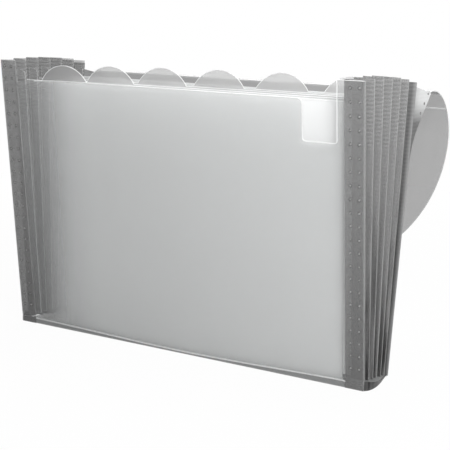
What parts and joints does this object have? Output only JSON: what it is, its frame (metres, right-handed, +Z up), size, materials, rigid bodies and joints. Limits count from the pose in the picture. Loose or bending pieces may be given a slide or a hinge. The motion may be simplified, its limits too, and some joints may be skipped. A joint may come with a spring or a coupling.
{
  "type": "accordion file folder",
  "caption": "Landscape expanding file of translucent plastic: pleated side gussets, tabbed dividers, notched front cover and a rounded flap folded back behind.",
  "frame": {"origin": "on the floor, under the middle of the base", "axes": "+X along the width to the right seen from the front, +Y from the front cover to the back cover, +Z up"},
  "size_m": [0.3306, 0.1765, 0.232],
  "materials": {
    "smoke_sheet": "smoke-grey translucent polypropylene sheet, finely embossed",
    "gusset_sheet": "smoke-grey translucent polypropylene sheet, pleated",
    "milky_sheet": "milky natural polypropylene sheet",
    "weld_spot": "fused polypropylene spot"
  },
  "bodies": {
    "base": {"base_trough": "smoke_sheet"},
    "back_cover": {"back_cover": "smoke_sheet", "left_rear_flange": "gusset_sheet", "left_rear_weld_spots": "weld_spot", "left_gusset_pleat_7": "gusset_sheet", "right_rear_flange": "gusset_sheet", "right_rear_weld_spots": "weld_spot", "right_gusset_pleat_7": "gusset_sheet"},
    "divider_6": {"divider_6": "milky_sheet", "divider_6_side_flanges": "milky_sheet", "left_gusset_pleat_6": "gusset_sheet", "right_gusset_pleat_6": "gusset_sheet"},
    "divider_5": {"divider_5": "milky_sheet", "divider_5_side_flanges": "milky_sheet", "left_gusset_pleat_5": "gusset_sheet", "right_gusset_pleat_5": "gusset_sheet"},
    "divider_4": {"divider_4": "milky_sheet", "divider_4_side_flanges": "milky_sheet", "left_gusset_pleat_4": "gusset_sheet", "right_gusset_pleat_4": "gusset_sheet"},
    "divider_3": {"divider_3": "milky_sheet", "divider_3_side_flanges": "milky_sheet", "left_gusset_pleat_3": "gusset_sheet", "right_gusset_pleat_3": "gusset_sheet"},
    "divider_2": {"divider_2": "milky_sheet", "divider_2_side_flanges": "milky_sheet", "left_gusset_pleat_2": "gusset_sheet", "right_gusset_pleat_2": "gusset_sheet"},
    "divider_1": {"divider_1": "milky_sheet", "divider_1_side_flanges": "milky_sheet"},
    "front_cover": {"front_cover": "smoke_sheet", "left_front_flange": "gusset_sheet", "left_front_weld_spots": "weld_spot", "left_gusset_pleat_1": "gusset_sheet", "right_front_flange": "gusset_sheet", "right_front_weld_spots": "weld_spot", "right_gusset_pleat_1": "gusset_sheet"},
    "flap_bridge": {"flap_bridge": "smoke_sheet"},
    "flap": {"flap": "smoke_sheet"}
  },
  "joints": [
    {"name": "fan", "type": "hinge", "parent": "base", "child": "back_cover", "pos_m": [0, 0.022, 0.005], "axis": [-1, 0, 0], "range_deg": [-6.5, 13]},
    {"name": "pocket_7_fold", "type": "hinge", "parent": "back_cover", "child": "divider_6", "pos_m": [0, 0.02017, 0.005], "axis": [-1, 0, 0], "range_deg": [-2.22, 1.13], "deforming": ["left_gusset_pleat_7", "right_gusset_pleat_7"]},
    {"name": "pocket_6_fold", "type": "hinge", "parent": "divider_6", "child": "divider_5", "pos_m": [0, 0.01467, 0.005], "axis": [-1, 0, 0], "range_deg": [-4.38, 2.22], "deforming": ["left_gusset_pleat_6", "right_gusset_pleat_6", "divider_6_side_flanges"]},
    {"name": "pocket_5_fold", "type": "hinge", "parent": "divider_5", "child": "divider_4", "pos_m": [0, 0.00733, 0.005], "axis": [-1, 0, 0], "range_deg": [-4.38, 2.22], "deforming": ["left_gusset_pleat_5", "right_gusset_pleat_5", "divider_5_side_flanges"]},
    {"name": "pocket_4_fold", "type": "hinge", "parent": "divider_4", "child": "divider_3", "pos_m": [0, 0, 0.005], "axis": [-1, 0, 0], "range_deg": [-4.38, 2.22], "deforming": ["left_gusset_pleat_4", "right_gusset_pleat_4", "divider_4_side_flanges"]},
    {"name": "pocket_3_fold", "type": "hinge", "parent": "divider_3", "child": "divider_2", "pos_m": [0, -0.00733, 0.005], "axis": [-1, 0, 0], "range_deg": [-4.38, 2.22], "deforming": ["left_gusset_pleat_3", "right_gusset_pleat_3", "divider_3_side_flanges"]},
    {"name": "pocket_2_fold", "type": "hinge", "parent": "divider_2", "child": "divider_1", "pos_m": [0, -0.01467, 0.005], "axis": [-1, 0, 0], "range_deg": [-4.38, 2.22], "deforming": ["left_gusset_pleat_2", "right_gusset_pleat_2", "divider_2_side_flanges"]},
    {"name": "pocket_1_fold", "type": "hinge", "parent": "divider_1", "child": "front_cover", "pos_m": [0, -0.02017, 0.005], "axis": [-1, 0, 0], "range_deg": [-2.22, 1.13], "deforming": ["left_gusset_pleat_1", "right_gusset_pleat_1", "divider_1_side_flanges"]},
    {"name": "flap_first_crease", "type": "hinge", "parent": "back_cover", "child": "flap_bridge", "pos_m": [0, 0.10309, 0.2144], "axis": [1, 0, 0], "range_deg": [-10, 120]},
    {"name": "flap_second_crease", "type": "hinge", "parent": "flap_bridge", "child": "flap", "pos_m": [0, 0.11882, 0.20204], "axis": [1, 0, 0], "range_deg": [-15, 120]}
  ],
  "couplings": [
    {"joint": "pocket_7_fold", "follows": "fan", "ratio": -0.16667},
    {"joint": "pocket_6_fold", "follows": "fan", "ratio": -0.33333},
    {"joint": "pocket_5_fold", "follows": "fan", "ratio": -0.33333},
    {"joint": "pocket_4_fold", "follows": "fan", "ratio": -0.33333},
    {"joint": "pocket_3_fold", "follows": "fan", "ratio": -0.33333},
    {"joint": "pocket_2_fold", "follows": "fan", "ratio": -0.33333},
    {"joint": "pocket_1_fold", "follows": "fan", "ratio": -0.16667}
  ]
}
